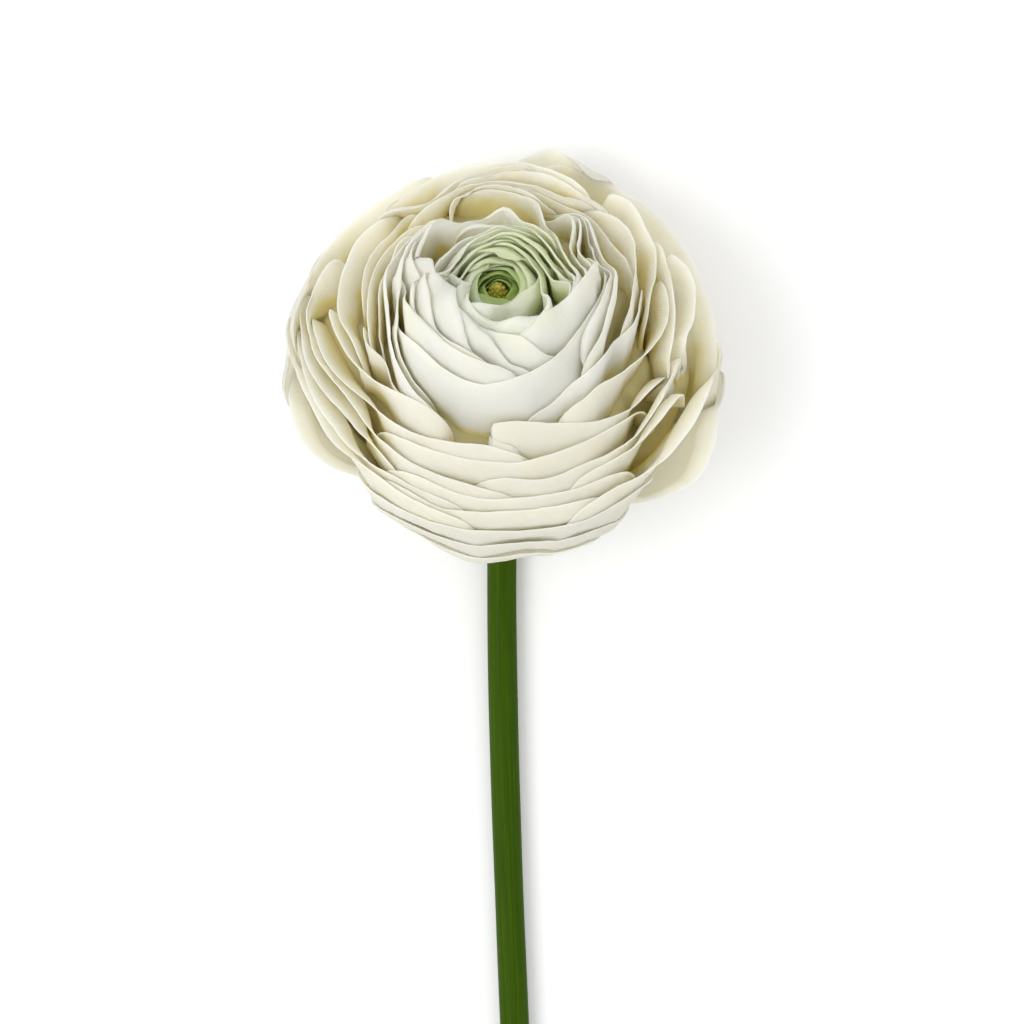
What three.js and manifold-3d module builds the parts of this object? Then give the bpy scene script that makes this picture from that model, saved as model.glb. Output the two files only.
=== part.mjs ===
// A cut ranunculus flower that lies on a flat surface. Millimetres, +Z up.
// The stem lies along -Y. At its neck it bends up into the bloom, which faces up and away from the stem.
// The origin is the point of the surface under the stem, just behind the bloom.
import * as THREE from "three";
import { mergeVertices } from "three/addons/utils/BufferGeometryUtils.js";
import Module from "manifold-3d";

const wasm = await Module();
wasm.setup();

const degrees = Math.PI / 180;
const lerp = THREE.MathUtils.lerp;
const smoothstep = THREE.MathUtils.smoothstep;

// Driving dimensions
const bloomRadius = 35.5; // belly of layer 1, where the close petals end and the loose guard petals begin
const bloomTilt = 39 * degrees; // from straight up, over towards +Y
const bloomCentre = new THREE.Vector3(0.5, 42, 28.9);
const stemDiameter = 5.4;
const cutEnd = new THREE.Vector3(6.5, -172, 0); // where the stem was cut, on the surface
const bladeThickness = 0.7;
const clearance = 0.35; // between neighbouring pieces

// Petal layers. A layer is a nested cup: its number times bloomRadius is its radius at the belly.
// Each petal follows one layer, and the spiral steps outwards from petal to petal.
const goldenAngle = 137.508 * degrees;
const spiralStart = 154.3 * degrees; // turns the last petal of the button to the front
const petalGroups = {
  heart: {
    count: 8,
    layers: [0.1, 0.25],
    halfWidths: [56, 50],
    feet: [[3.2, 4.6], [6.2, 4.2]],
    sag: 0,
    hip: 8,
    roots: [0.9, 0.5],
    rows: 3,
  },
  inner: {
    count: 20,
    layers: [0.29, 0.7],
    halfWidths: [50, 72],
    feet: [[7, -5.6], [12, -9]],
    sag: 0,
    hip: 0,
    roots: [1.1, 0.6],
    rows: 3,
  },
  outer: {
    count: 14,
    layers: [0.76, 1],
    halfWidths: [74, 62],
    feet: [[8, -13.6], [8, -17]],
    sag: 3,
    hip: 0,
    roots: [0.65, 0],
    rows: 4,
  },
};

// How the petals of a layer end. The lean lifts the rims behind and lowers those over the stem.
const rims = [
  { layer: 0.1, radius: 3, height: 17.5, lean: 0, curl: 0.5 },
  { layer: 0.25, radius: 4.4, height: 19.2, lean: -0.5, curl: 1.1 },
  { layer: 0.36, radius: 6.8, height: 21.4, lean: -1.5, curl: 1.15 },
  { layer: 0.48, radius: 11, height: 23.2, lean: -2, curl: 1.1 },
  { layer: 0.56, radius: 15.6, height: 22, lean: -1, curl: 1 },
  { layer: 0.63, radius: 18.6, height: 19.8, lean: 0, curl: 0.9 },
  { layer: 0.7, radius: 20.8, height: 17.6, lean: 0.5, curl: 0.85 },
  { layer: 0.77, radius: 24.9, height: 12.3, lean: 2.5, curl: 0.5 },
  { layer: 0.85, radius: 28.2, height: 10.2, lean: 4.5, curl: 0.4 },
  { layer: 0.93, radius: 31.8, height: 8.5, lean: 6.5, curl: 0.3 },
  { layer: 1, radius: 34.8, height: 6.5, lean: 7.5, curl: 0.2 },
];

// The loose petals outside the spiral, three under the bloom's front, then round it from the right
const guards = [
  { azimuth: -84, halfWidth: 52, layer: 1.03, radius: 35.8, height: 1.5, hip: -4 },
  { azimuth: -101, halfWidth: 42, layer: 1.04, radius: 35.9, height: -3.5, hip: -6 },
  { azimuth: -86, halfWidth: 34, layer: 1.05, radius: 35.8, height: -8, hip: -9 },
  { azimuth: -19, halfWidth: 28, layer: 1.07, radius: 40, height: -3, hip: -6 },
  { azimuth: -162, halfWidth: 24, layer: 1.06, radius: 39, height: -3, hip: -5 },
  { azimuth: 76, halfWidth: 40, layer: 1.08, radius: 37.8, height: 11, hip: 0 },
  { azimuth: 38, halfWidth: 44, layer: 1.1, radius: 38.2, height: 8.5, hip: 0 },
  { azimuth: 128, halfWidth: 44, layer: 1.06, radius: 36.6, height: 9, hip: 0 },
  { azimuth: 168, halfWidth: 40, layer: 1.075, radius: 37.4, height: 2, hip: -2 },
];
const guardRows = 7;
const guardCurl = 0.2;
const guardSlant = 0.03;
const guardFlare = 0.004;

// Petals keep to one lattice of facets, so that neighbours lie close without crossing
const facetAngle = 18 * degrees;
const scatterSeed = 2027;
const rimScatter = 0.4; // of the rims' heights
const slants = { mean: 0.035, spread: 0.02 }; // how much shorter a petal is at one side than in its middle
const flares = { mean: 0.008, spread: 0.004 }; // how far a petal's middle opens out at its rim
// How much shorter a petal is at its sides, with its corners round
const sideDrop = { least: 0.1, perLayer: 0.2 };
const edgeWave = { size: 0.01, pitch: 7 }; // along the rim, as a share of the petal's length
const fullness = 0.72; // how square a cup is below the belly: 0.55 is an ellipse
const clawShare = 0.42; // width of a petal's foot against its widest part
const clawEnd = 0.62; // share of a petal's length where it is at its widest
const cupShare = 0.008; // how far a petal's sides close in on the layer inside it
const skewShare = 0.003; // how far one side stands off and the other closes in, all round one way
const ripples = { size: 0.002, pitch: 5 }; // across a petal, as a share of its radius

// Solid hearts of the petal groups, as [radius, height] profiles in the bloom's frame
const heartCore = [[0, 2.3], [8.6, 2.3], [8.2, 9], [6, 12.4], [0, 12.4]];
const innerCore = [
  [0, -9.3], [13, -9.3], [18.9, -7.5], [21.9, -5.4], [23.8, -3], [24.4, 0], [23, 4], [12, 7],
  [9.7, 6], [9.7, 1.95], [0, 1.95],
];
const outerCore = [
  [0, -18.6], [11, -18.6], [16, -17.8], [20.5, -16.2], [26.3, -11.8], [29.4, -6.4], [28.4, -2.6],
  [25.8, -2.6], [24.9, -3.8], [22.8, -6.5], [19.4, -8.8], [13.2, -10.1], [0, -10.1],
];
const guardCore = [[0, -22.2], [6, -22.2], [8, -21.4], [8, -18.95], [0, -18.95]];
const guardFoot = [5, -20.6];
const guardSag = 4;

// A repeatable stream of numbers from -1 to 1
function scatterStream(seed) {
  let state = seed;
  return () => {
    state = (state * 16807) % 2147483647;
    return (state / 2147483647) * 2 - 1;
  };
}

function onLattice(angle) {
  return Math.round(angle / facetAngle) * facetAngle;
}

function rimAt(layer) {
  const next = Math.max(1, rims.findIndex((rim) => rim.layer >= layer));
  const [a, b] = [rims[next - 1], rims[next]];
  const share = (layer - a.layer) / (b.layer - a.layer);
  const mixed = {};
  for (const key of Object.keys(a)) mixed[key] = lerp(a[key], b[key], share);
  return mixed;
}

// Every petal of the bloom, from the heart outwards
function allPetals() {
  const scatter = scatterStream(scatterSeed);
  const petals = [];
  for (const [group, rule] of Object.entries(petalGroups)) {
    for (let i = 0; i < rule.count; i++) {
      const share = i / (rule.count - 1);
      const azimuth = spiralStart + petals.length * goldenAngle;
      const rim = rimAt(lerp(...rule.layers, share));
      petals.push({
        ...rim,
        group,
        azimuth: onLattice(azimuth),
        height: rim.height + scatter() * rimScatter,
        halfWidth: onLattice(lerp(...rule.halfWidths, share) * degrees),
        slant: slants.mean + slants.spread * scatter(),
        flare: flares.mean + flares.spread * scatter(),
        phase: scatter() * Math.PI,
        hip: rule.hip,
        sag: rule.sag,
        foot: [lerp(rule.feet[0][0], rule.feet[1][0], share), lerp(rule.feet[0][1], rule.feet[1][1], share)],
        roots: lerp(...rule.roots, share),
        rows: rule.rows,
      });
    }
  }
  for (const guard of guards) {
    petals.push({
      ...guard,
      group: "guard",
      azimuth: onLattice(guard.azimuth * degrees),
      halfWidth: onLattice(guard.halfWidth * degrees),
      lean: 0,
      curl: guardCurl,
      slant: guardSlant * scatter(),
      flare: guardFlare,
      phase: scatter() * Math.PI,
      foot: guardFoot,
      sag: guardSag,
      roots: 0,
      rows: guardRows,
    });
  }
  return petals;
}

function cubic(t, a, b, c, d) {
  const s = 1 - t;
  return s * s * s * a + 3 * s * s * t * b + 3 * s * t * t * c + t * t * t * d;
}

// Share of a petal's length from its foot to its belly
function bellyShare(petal) {
  const belly = bloomRadius * petal.layer;
  const below = 0.85 * (belly - petal.foot[0] + petal.hip - petal.foot[1]);
  const above = Math.max(5, petal.height - petal.hip) * 1.15 + (belly - petal.radius) * 0.6;
  return below / (below + above);
}

// Radius and height along a petal: from the foot, out to the belly, then up to the rim.
// swell scales the layer there, and azimuth says how much of the lean is felt.
function meridianPoint(petal, swell, along, azimuth) {
  const belly = bloomRadius * petal.layer * swell;
  const rimRadius = petal.radius * swell;
  const rimHeight = petal.height + petal.lean * Math.sin(azimuth);
  const hip = Math.min(petal.hip, rimHeight - 3);
  const [footRadius, footHeight] = petal.foot;
  const bellyAt = bellyShare(petal);
  if (along < bellyAt) {
    const t = along / bellyAt;
    const out = lerp(footRadius, belly, fullness);
    const low = footHeight - petal.sag;
    return [cubic(t, footRadius, out, belly, belly), cubic(t, footHeight, low, lerp(low, hip, fullness), hip)];
  }
  const t = (along - bellyAt) / (1 - bellyAt);
  const rise = rimHeight - hip;
  const bend = rimHeight - lerp(0.4, -0.05, petal.curl) * rise;
  return [
    cubic(t, belly, belly, lerp(rimRadius, belly, 0.6), rimRadius),
    cubic(t, hip, hip + 0.55 * rise, bend, rimHeight),
  ];
}

const bloomFrame = new THREE.Group();
bloomFrame.position.copy(bloomCentre);
bloomFrame.rotation.x = -bloomTilt;
bloomFrame.updateMatrixWorld();
const toBloom = bloomFrame.matrixWorld.clone().invert();

// Petals that meet the surface are pressed flat on it, and keep their order above each other
function pressOnSurface(point) {
  const softness = 2.2;
  const least = -0.3;
  const world = point.clone().applyMatrix4(bloomFrame.matrixWorld);
  if (world.z < least + softness) {
    world.z = least + softness * Math.exp((world.z - least - softness) / softness);
  }
  return world.applyMatrix4(toBloom);
}

// A point of a petal's middle surface: across runs from -1 to 1, along from 0 at the foot to 1 at the rim
function petalPoint(petal, across, along) {
  const side = Math.abs(across);
  const drop = (sideDrop.least + sideDrop.perLayer * petal.layer) * side ** 4;
  const wave = edgeWave.size * Math.sin(edgeWave.pitch * across + 2 * petal.phase);
  const outline = 1 - drop - petal.slant * across + wave;
  const reach = along * Math.min(1, outline);
  const high = smoothstep(reach, 0.5, 1);
  const claw = lerp(clawShare, 1, Math.sin((Math.min(1, reach / clawEnd) * Math.PI) / 2));
  const azimuth = petal.azimuth + across * petal.halfWidth * claw;
  const ripple = ripples.size * Math.sin(ripples.pitch * across + petal.phase) * high;
  const flare = petal.flare * (1 - side * side) * high;
  const swell = 1 - cupShare * side * side * reach + flare + ripple + skewShare * across * high;
  const [radius, height] = meridianPoint(petal, swell, reach, azimuth);
  return pressOnSurface(
    new THREE.Vector3(radius * Math.cos(azimuth), radius * Math.sin(azimuth), height),
  );
}

function normalAt(surface, across, along) {
  const step = 0.01;
  const a = surface(Math.max(-1, across - step), along);
  const b = surface(Math.min(1, across + step), along);
  const c = surface(across, Math.max(0, along - step));
  const d = surface(across, Math.min(1, along + step));
  return b.sub(a).cross(d.sub(c)).normalize();
}

// A closed blade of even thickness round a surface over across -1 to 1 and along 0 to 1
function blade(surface, [columns, rows], thickness) {
  const positions = [];
  for (const face of [0.5, -0.5]) {
    for (let j = 0; j <= rows; j++) {
      for (let i = 0; i <= columns; i++) {
        const across = (2 * i) / columns - 1;
        const along = j / rows;
        const normal = normalAt(surface, across, along);
        positions.push(...surface(across, along).addScaledVector(normal, face * thickness));
      }
    }
  }
  const at = (face, i, j) => face * (columns + 1) * (rows + 1) + j * (columns + 1) + i;
  const index = [];
  const quad = (a, b, c, d) => index.push(a, b, c, a, c, d);
  for (let j = 0; j < rows; j++) {
    for (let i = 0; i < columns; i++) {
      quad(at(0, i, j), at(0, i + 1, j), at(0, i + 1, j + 1), at(0, i, j + 1));
      index.push(at(1, i, j), at(1, i + 1, j + 1), at(1, i + 1, j));
      index.push(at(1, i, j), at(1, i, j + 1), at(1, i + 1, j + 1));
    }
  }
  for (let i = 0; i < columns; i++) {
    quad(at(0, i + 1, 0), at(0, i, 0), at(1, i, 0), at(1, i + 1, 0));
    quad(at(0, i, rows), at(0, i + 1, rows), at(1, i + 1, rows), at(1, i, rows));
  }
  for (let j = 0; j < rows; j++) {
    quad(at(0, 0, j), at(0, 0, j + 1), at(1, 0, j + 1), at(1, 0, j));
    quad(at(0, columns, j + 1), at(0, columns, j), at(1, columns, j), at(1, columns, j + 1));
  }
  const geometry = new THREE.BufferGeometry();
  geometry.setAttribute("position", new THREE.Float32BufferAttribute(positions, 3));
  geometry.setIndex(index);
  return geometry;
}

function turned(profile, sides) {
  const points = profile.map(([radius, height]) => new THREE.Vector2(radius, height));
  return new THREE.LatheGeometry(points, sides).rotateX(Math.PI / 2);
}

function toSolid(geometry) {
  const bare = geometry.clone();
  bare.deleteAttribute("normal");
  bare.deleteAttribute("uv");
  const merged = mergeVertices(bare, 1e-4);
  return new wasm.Manifold(
    new wasm.Mesh({
      numProp: 3,
      vertProperties: new Float32Array(merged.attributes.position.array),
      triVerts: new Uint32Array(merged.index.array),
    }),
  );
}

function toGeometry(solid) {
  const mesh = solid.getMesh();
  const geometry = new THREE.BufferGeometry();
  geometry.setAttribute("position", new THREE.BufferAttribute(mesh.vertProperties, 3));
  geometry.setIndex(new THREE.BufferAttribute(mesh.triVerts, 1));
  const flat = geometry.toNonIndexed();
  flat.computeVertexNormals();
  return flat;
}

function join(geometries) {
  return geometries.map(toSolid).reduce((whole, piece) => whole.add(piece));
}

// Where petals close on each other all round, the pocket between them is filled
function withoutPockets(solid) {
  const shells = solid.decompose().filter((shell) => shell.volume() > 0);
  return shells.reduce((whole, shell) => whole.add(shell));
}

// What would reach below the surface, in the bloom's frame
function belowSurface() {
  const width = 300;
  const depth = 20;
  const slab = new THREE.BoxGeometry(width, width, depth).translate(0, 41, -depth / 2);
  return toSolid(slab.applyMatrix4(toBloom));
}

const materials = {
  stem: new THREE.MeshStandardMaterial({ color: 0x3f6410, roughness: 0.5 }),
  calyx: new THREE.MeshStandardMaterial({ color: 0x9aab57, roughness: 0.6 }),
  guard: new THREE.MeshStandardMaterial({ color: 0xe2e2d2, roughness: 0.6 }),
  outer: new THREE.MeshStandardMaterial({ color: 0xefeddb, roughness: 0.6 }),
  inner: new THREE.MeshStandardMaterial({ color: 0xf3f4ea, roughness: 0.6 }),
  heart: new THREE.MeshStandardMaterial({ color: 0xc3d08e, roughness: 0.6 }),
  pistil: new THREE.MeshStandardMaterial({ color: 0xa79a2e, roughness: 0.7 }),
};

function named(name, geometry, material) {
  const mesh = new THREE.Mesh(geometry, material);
  mesh.name = name;
  return mesh;
}

const coreSides = 20; // the same lattice as the facets
function petalNode(group, core, petals, ground) {
  const blades = petals
    .filter((petal) => petal.group === group)
    .map((petal) => {
      const root = petal.roots * bellyShare(petal);
      const columns = Math.round((2 * petal.halfWidth) / facetAngle);
      const surface = (across, share) => petalPoint(petal, across, lerp(root, 1, share));
      return blade(surface, [columns, petal.rows], bladeThickness);
    });
  const solid = join([turned(core, coreSides), ...blades]).subtract(ground);
  return named(`${group}_petals`, toGeometry(withoutPockets(solid)), materials[group]);
}

// The ripening centre: a short cone of carpels packed in a spiral, lowest first
const cone = [[0, 12.75], [2.2, 12.75], [2.4, 14], [1.9, 16.2], [1.1, 17.6], [0, 18]];
const coneSides = 12;
const carpels = { count: 10, size: 0.7, radii: [2.1, 0.8], heights: [13.9, 17.7] };
function pistil() {
  const beads = [];
  for (let i = 0; i < carpels.count; i++) {
    const share = i / (carpels.count - 1);
    const radius = lerp(...carpels.radii, share);
    const angle = i * goldenAngle;
    const bead = new THREE.SphereGeometry(carpels.size, 5, 3);
    bead.translate(radius * Math.cos(angle), radius * Math.sin(angle), lerp(...carpels.heights, share));
    beads.push(bead);
  }
  const body = turned(cone, coneSides);
  return named("pistil", toGeometry(join([body, ...beads])), materials.pistil);
}

// The swollen end of the stem with five small sepals, bent back from the petals
const calyxTop = guardCore[0][1] - clearance;
const calyxHeight = 2.9;
const calyxBottom = calyxTop - calyxHeight;
const receptacle = [
  [0, calyxBottom], [2.9, calyxBottom], [3.9, calyxBottom + 1], [4.6, calyxTop - 0.9],
  [4.2, calyxTop], [0, calyxTop],
];
const receptacleSides = 16;
const sepal = {
  count: 5,
  start: -18,
  root: 2.6, // from the axis
  length: 10.5,
  halfWidth: 4.1,
  tip: 0.14, // how much shorter it is at its sides
  drop: 1.1, // of its root below the calyx's top
  dip: 0.9,
  sag: 3.6,
  fold: 0.8,
};
function calyx() {
  const disc = turned(receptacle, receptacleSides);
  const sepals = [];
  for (let i = 0; i < sepal.count; i++) {
    const azimuth = ((i * 360) / sepal.count + sepal.start) * degrees;
    const surface = (across, along) => {
      const side = Math.abs(across);
      const reach = sepal.root + along * sepal.length * (1 - sepal.tip * side * side);
      // An oval that is cut off at the root, and blunt at the tip
      const width = sepal.halfWidth * Math.sin(Math.PI * (0.22 + 0.68 * along)) ** 0.8;
      const sag = sepal.dip + sepal.sag * along * along - sepal.fold * side * side;
      const out = new THREE.Vector3(reach, across * width, calyxTop - sepal.drop - sag * along);
      return out.applyAxisAngle(new THREE.Vector3(0, 0, 1), azimuth);
    };
    sepals.push(blade(surface, [3, 3], bladeThickness));
  }
  return named("calyx", toGeometry(join([disc, ...sepals])), materials.calyx);
}

// The stem's centre line: down out of the calyx, round the neck, then along the surface to the cut
const settleY = 2; // where the stem comes to lie on the surface
const pith = { radius: 1.05, length: 14, sides: 10 }; // the hollow in the cut end, half its length deep
function stemLine() {
  const radius = stemDiameter / 2;
  const neck = new THREE.Vector3(0, 0, calyxBottom - clearance).applyMatrix4(bloomFrame.matrixWorld);
  const down = new THREE.Vector3(0, -Math.sin(bloomTilt), -Math.cos(bloomTilt));
  const settle = new THREE.Vector3(0, settleY, radius);
  const end = cutEnd.clone().setZ(radius);
  const neckHandle = neck.clone().addScaledVector(down, 6.5);
  const beforeSettle = settle.clone().add(new THREE.Vector3(0, 12, 0));
  const afterSettle = settle.clone().add(new THREE.Vector3(0, -45, 0));
  const endHandle = end.clone().add(new THREE.Vector3(-2.4, 60, 0));
  const bend = new THREE.CubicBezierCurve3(neck, neckHandle, beforeSettle, settle);
  const run = new THREE.CubicBezierCurve3(settle, afterSettle, endHandle, end);
  const line = new THREE.CurvePath();
  line.add(bend);
  line.add(run);
  return line;
}

function stem() {
  const sides = 12;
  const line = stemLine();
  const stations = [];
  const bendSteps = 7;
  const runSteps = 7;
  for (let i = 0; i < bendSteps; i++) stations.push([line.curves[0], i / bendSteps]);
  for (let i = 0; i <= runSteps; i++) stations.push([line.curves[1], i / runSteps]);
  const right = new THREE.Vector3(1, 0, 0);
  const rings = stations.map(([curve, t]) => {
    const centre = curve.getPoint(t);
    const ahead = curve.getTangent(t);
    const sideways = right.clone().addScaledVector(ahead, -right.dot(ahead)).normalize();
    const up = new THREE.Vector3().crossVectors(sideways, ahead);
    return { centre, sideways, up };
  });
  // A vertex ring turned by half a side, so that one side lies flat on the surface
  const flatRadius = stemDiameter / 2 / Math.cos(Math.PI / sides);
  const positions = [];
  for (const { centre, sideways, up } of rings) {
    for (let k = 0; k < sides; k++) {
      const angle = ((k + 0.5) / sides) * 2 * Math.PI;
      const point = centre.clone();
      point.addScaledVector(sideways, flatRadius * Math.cos(angle));
      point.addScaledVector(up, flatRadius * Math.sin(angle));
      positions.push(...point);
    }
  }
  const last = rings.length - 1;
  const index = [];
  for (let r = 0; r < last; r++) {
    for (let k = 0; k < sides; k++) {
      const a = r * sides + k;
      const b = r * sides + ((k + 1) % sides);
      index.push(a, b + sides, b, a, a + sides, b + sides);
    }
  }
  for (let k = 1; k < sides - 1; k++) {
    index.push(0, k, k + 1);
    index.push(last * sides, last * sides + k + 1, last * sides + k);
  }
  const geometry = new THREE.BufferGeometry();
  geometry.setAttribute("position", new THREE.Float32BufferAttribute(positions, 3));
  geometry.setIndex(index);
  const hollow = new THREE.CylinderGeometry(pith.radius, pith.radius, pith.length, pith.sides);
  hollow.translate(cutEnd.x, cutEnd.y, stemDiameter / 2);
  return named("stem", toGeometry(toSolid(geometry).subtract(toSolid(hollow))), materials.stem);
}

const petals = allPetals();
const ground = belowSurface();
bloomFrame.add(
  pistil(),
  petalNode("heart", heartCore, petals, ground),
  petalNode("inner", innerCore, petals, ground),
  petalNode("outer", outerCore, petals, ground),
  petalNode("guard", guardCore, petals, ground),
  calyx(),
);

const flower = new THREE.Group();
flower.add(bloomFrame, stem());

export default flower;
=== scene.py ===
"""A cut ranunculus flower that lies on a pale floor, seen from straight above."""

import math

import bpy
import numpy as np
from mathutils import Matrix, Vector


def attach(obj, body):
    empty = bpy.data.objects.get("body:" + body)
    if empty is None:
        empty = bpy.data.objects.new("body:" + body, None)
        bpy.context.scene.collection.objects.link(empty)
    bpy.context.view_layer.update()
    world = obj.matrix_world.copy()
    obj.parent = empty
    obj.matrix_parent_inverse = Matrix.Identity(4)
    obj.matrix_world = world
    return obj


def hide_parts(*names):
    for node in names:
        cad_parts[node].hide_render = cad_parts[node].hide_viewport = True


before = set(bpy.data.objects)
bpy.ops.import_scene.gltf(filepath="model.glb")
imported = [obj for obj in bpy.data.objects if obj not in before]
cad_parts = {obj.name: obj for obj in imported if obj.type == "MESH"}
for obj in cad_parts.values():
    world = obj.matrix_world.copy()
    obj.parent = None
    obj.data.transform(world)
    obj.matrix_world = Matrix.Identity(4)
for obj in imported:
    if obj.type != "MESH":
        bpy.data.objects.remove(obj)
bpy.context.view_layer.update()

MM = 0.001
DEGREE = math.pi / 180

# Lengths are in mm, unless a comment says otherwise.
# The bloom's own frame: its centre, and its tilt from straight up over towards +Y
CENTRE = np.array([0.5, 42.0, 28.9])
TILT = 39 * DEGREE
# The bowl's radius at its widest, the stem's radius, and the height at which the calyx meets the petals
RADIUS = 35.5
STEM_RADIUS = 2.75
CALYX_TOP = -22.55
GOLDEN_ANGLE = 137.508 * DEGREE

# Where the petals' rims lie: layer, rim radius, rim height, lean, curl.
# A layer times RADIUS is the petal's radius at its belly. Rims are higher at the back by their lean.
RIMS = np.array([
    (0.00, 0.0, 15.5, 0.0, 0.5),
    (0.10, 3.0, 17.5, 0.0, 0.6),
    (0.25, 4.4, 19.0, -0.5, 1.1),
    (0.36, 6.8, 20.8, -1.0, 1.15),
    (0.48, 11.0, 22.6, -1.5, 1.1),
    (0.56, 15.6, 22.0, -1.0, 1.0),
    (0.63, 18.6, 19.8, 0.0, 0.9),
    (0.70, 20.8, 17.6, 0.5, 0.85),
    (0.77, 24.9, 12.3, 2.5, 0.5),
    (0.85, 28.2, 10.2, 4.5, 0.4),
    (0.93, 31.8, 8.5, 6.5, 0.3),
    (1.00, 34.8, 6.5, 7.5, 0.2),
    (1.05, 36.5, 3.0, 9.0, 0.2),
    (1.10, 38.5, -1.0, 12.0, 0.2),
    (1.18, 42.0, -6.0, 12.0, 0.2),
])
# The eye sits off the axis by this much, and the shift fades out over this radius
EYE_SHIFT = (-1.2, 1.3)
EYE_FADE = 8.0
# By how much the front of the bowl narrows towards its foot
TUCK = 0.06
# Rim radii, and the belly radii that go with them at the sides and the back, where the outer petals flare
SIDE_BELLY = ((21, 26, 32, 36, 40), (21.4, 23.0, 26.5, 32.0, 36.0))
# How much wider the rims of the spreading guard petals are than their bellies
GUARD_FLARE = 4.0

# How closely a petal lies on those inside it
CLOSE, AJAR, LOOSE = 0.85, 0.4, 0.0

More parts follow.
